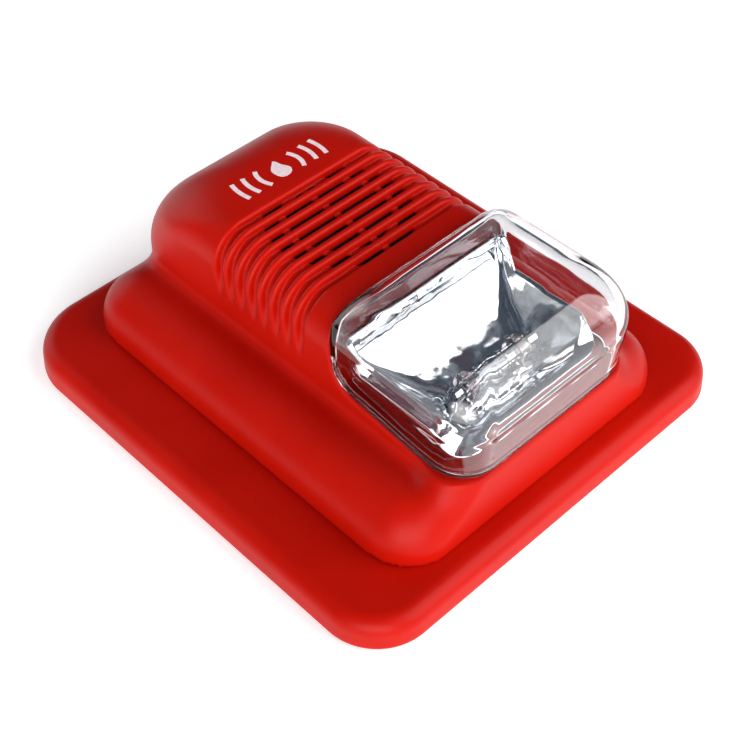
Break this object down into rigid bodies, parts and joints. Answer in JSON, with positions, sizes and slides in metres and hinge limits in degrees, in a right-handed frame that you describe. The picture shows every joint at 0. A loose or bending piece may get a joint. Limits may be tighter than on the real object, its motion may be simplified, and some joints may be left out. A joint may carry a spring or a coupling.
{
  "type": "fire alarm horn strobe",
  "caption": "Wall horn strobe: square red base plate, stepped red head with a ribbed sounder grille, and a clear box-shaped strobe lens over a chromed reflector.",
  "frame": {"origin": "middle of the base plate's rear face, the face that lies on the wall", "axes": "+Z out of the wall through the lens, +Y up the wall from the strobe towards the sounder, +X to the right seen from the front"},
  "size_m": [0.125, 0.1342, 0.054],
  "materials": {
    "red_abs": "satin moulded ABS, fire red",
    "black_rubber": "moulded rubber, black",
    "green_pbt": "moulded PBT, green",
    "zinc_steel": "bright zinc-plated steel",
    "brass": "nickel-free brass, as cut",
    "phosphor_bronze": "rolled phosphor bronze spring strip",
    "clear_pc": "clear moulded polycarbonate",
    "quartz_glass": "clear drawn quartz glass",
    "silicone": "translucent moulded silicone",
    "vacuum_chrome": "vacuum-metallised plastic, mirror bright",
    "black_abs": "moulded ABS, black",
    "pzt_ceramic": "fired piezo ceramic with silver face",
    "fr4_board": "glass-epoxy laminate with green solder mask",
    "capacitor_sleeve": "shrunk PVC sleeve on an aluminium can",
    "ferrite": "sintered ferrite core with taped winding",
    "copper_winding": "enamelled copper wire winding",
    "epoxy_black": "moulded epoxy package, black",
    "red_switch": "moulded switch body, red",
    "white_nylon": "moulded nylon, white",
    "blue_trimmer": "moulded trimmer body, blue"
  },
  "bodies": {
    "wall_base": {"base_plate": "red_abs", "cable_grommet": "black_rubber", "terminal_block": "green_pbt", "contact_spring_1": "phosphor_bronze", "contact_spring_2": "phosphor_bronze", "contact_spring_3": "phosphor_bronze", "contact_spring_4": "phosphor_bronze"},
    "clamp_screw_1": {"terminal_screw_1": "zinc_steel"},
    "clamp_cage_1": {"wire_clamp_1": "brass"},
    "tone_slide_1": {"tone_slider_1": "white_nylon"},
    "clamp_screw_2": {"terminal_screw_2": "zinc_steel"},
    "clamp_cage_2": {"wire_clamp_2": "brass"},
    "tone_slide_2": {"tone_slider_2": "white_nylon"},
    "clamp_screw_3": {"terminal_screw_3": "zinc_steel"},
    "clamp_cage_3": {"wire_clamp_3": "brass"},
    "tone_slide_3": {"tone_slider_3": "white_nylon"},
    "clamp_screw_4": {"terminal_screw_4": "zinc_steel"},
    "clamp_cage_4": {"wire_clamp_4": "brass"},
    "tone_slide_4": {"tone_slider_4": "white_nylon"},
    "volume_knob": {"volume_rotor": "white_nylon"},
    "head": {"front_housing": "red_abs", "strobe_lens": "clear_pc", "lens_gasket": "silicone", "reflector": "vacuum_chrome", "xenon_tube": "quartz_glass", "electrode_left": "zinc_steel", "electrode_right": "zinc_steel", "tube_holder_left": "silicone", "tube_holder_right": "silicone", "trigger_wire": "zinc_steel", "sounder_cup": "black_abs", "piezo_ring": "black_rubber", "piezo_plate": "brass", "piezo_ceramic": "pzt_ceramic", "sounder_mesh": "black_abs", "circuit_board": "fr4_board", "board_screw_1": "zinc_steel", "board_screw_2": "zinc_steel", "board_screw_3": "zinc_steel", "board_screw_4": "zinc_steel", "flash_capacitor": "capacitor_sleeve", "filter_capacitor": "capacitor_sleeve", "inverter_transformer": "ferrite", "trigger_coil": "copper_winding", "controller_chip": "epoxy_black", "power_transistor": "epoxy_black", "bridge_rectifier": "epoxy_black", "tone_switch": "red_switch", "volume_trimmer": "blue_trimmer"}
  },
  "joints": [
    {"name": "head_lift", "type": "slide", "parent": "wall_base", "child": "head", "axis": [0, 0, 1], "range_m": [0, 0.03]},
    {"name": "clamp_cage_1_rise", "type": "slide", "parent": "wall_base", "child": "clamp_cage_1", "axis": [0, 0, 1], "range_m": [0, 0.002]},
    {"name": "clamp_screw_1_turn", "type": "hinge", "parent": "wall_base", "child": "clamp_screw_1", "pos_m": [-0.00762, -0.0246, 0.0136], "axis": [0, 0, 1], "range_deg": [-1442, 0]},
    {"name": "clamp_cage_2_rise", "type": "slide", "parent": "wall_base", "child": "clamp_cage_2", "axis": [0, 0, 1], "range_m": [0, 0.002]},
    {"name": "clamp_screw_2_turn", "type": "hinge", "parent": "wall_base", "child": "clamp_screw_2", "pos_m": [-0.00254, -0.0246, 0.0136], "axis": [0, 0, 1], "range_deg": [-1442, 0]},
    {"name": "clamp_cage_3_rise", "type": "slide", "parent": "wall_base", "child": "clamp_cage_3", "axis": [0, 0, 1], "range_m": [0, 0.002]},
    {"name": "clamp_screw_3_turn", "type": "hinge", "parent": "wall_base", "child": "clamp_screw_3", "pos_m": [0.00254, -0.0246, 0.0136], "axis": [0, 0, 1], "range_deg": [-1442, 0]},
    {"name": "clamp_cage_4_rise", "type": "slide", "parent": "wall_base", "child": "clamp_cage_4", "axis": [0, 0, 1], "range_m": [0, 0.002]},
    {"name": "clamp_screw_4_turn", "type": "hinge", "parent": "wall_base", "child": "clamp_screw_4", "pos_m": [0.00762, -0.0246, 0.0136], "axis": [0, 0, 1], "range_deg": [-1442, 0]},
    {"name": "tone_slide_1_travel", "type": "slide", "parent": "head", "child": "tone_slide_1", "axis": [0, 1, 0], "range_m": [0, 0.002]},
    {"name": "tone_slide_2_travel", "type": "slide", "parent": "head", "child": "tone_slide_2", "axis": [0, 1, 0], "range_m": [0, 0.002]},
    {"name": "tone_slide_3_travel", "type": "slide", "parent": "head", "child": "tone_slide_3", "axis": [0, 1, 0], "range_m": [0, 0.002]},
    {"name": "tone_slide_4_travel", "type": "slide", "parent": "head", "child": "tone_slide_4", "axis": [0, 1, 0], "range_m": [0, 0.002]},
    {"name": "volume_turn", "type": "hinge", "parent": "head", "child": "volume_knob", "pos_m": [-0.017, 0.024, 0.0115], "axis": [0, 0, 1], "range_deg": [-135, 135]}
  ],
  "couplings": [
    {"joint": "clamp_screw_1_turn", "follows": "clamp_cage_1_rise", "rad_per_m": -12566},
    {"joint": "clamp_screw_2_turn", "follows": "clamp_cage_2_rise", "rad_per_m": -12566},
    {"joint": "clamp_screw_3_turn", "follows": "clamp_cage_3_rise", "rad_per_m": -12566},
    {"joint": "clamp_screw_4_turn", "follows": "clamp_cage_4_rise", "rad_per_m": -12566}
  ]
}
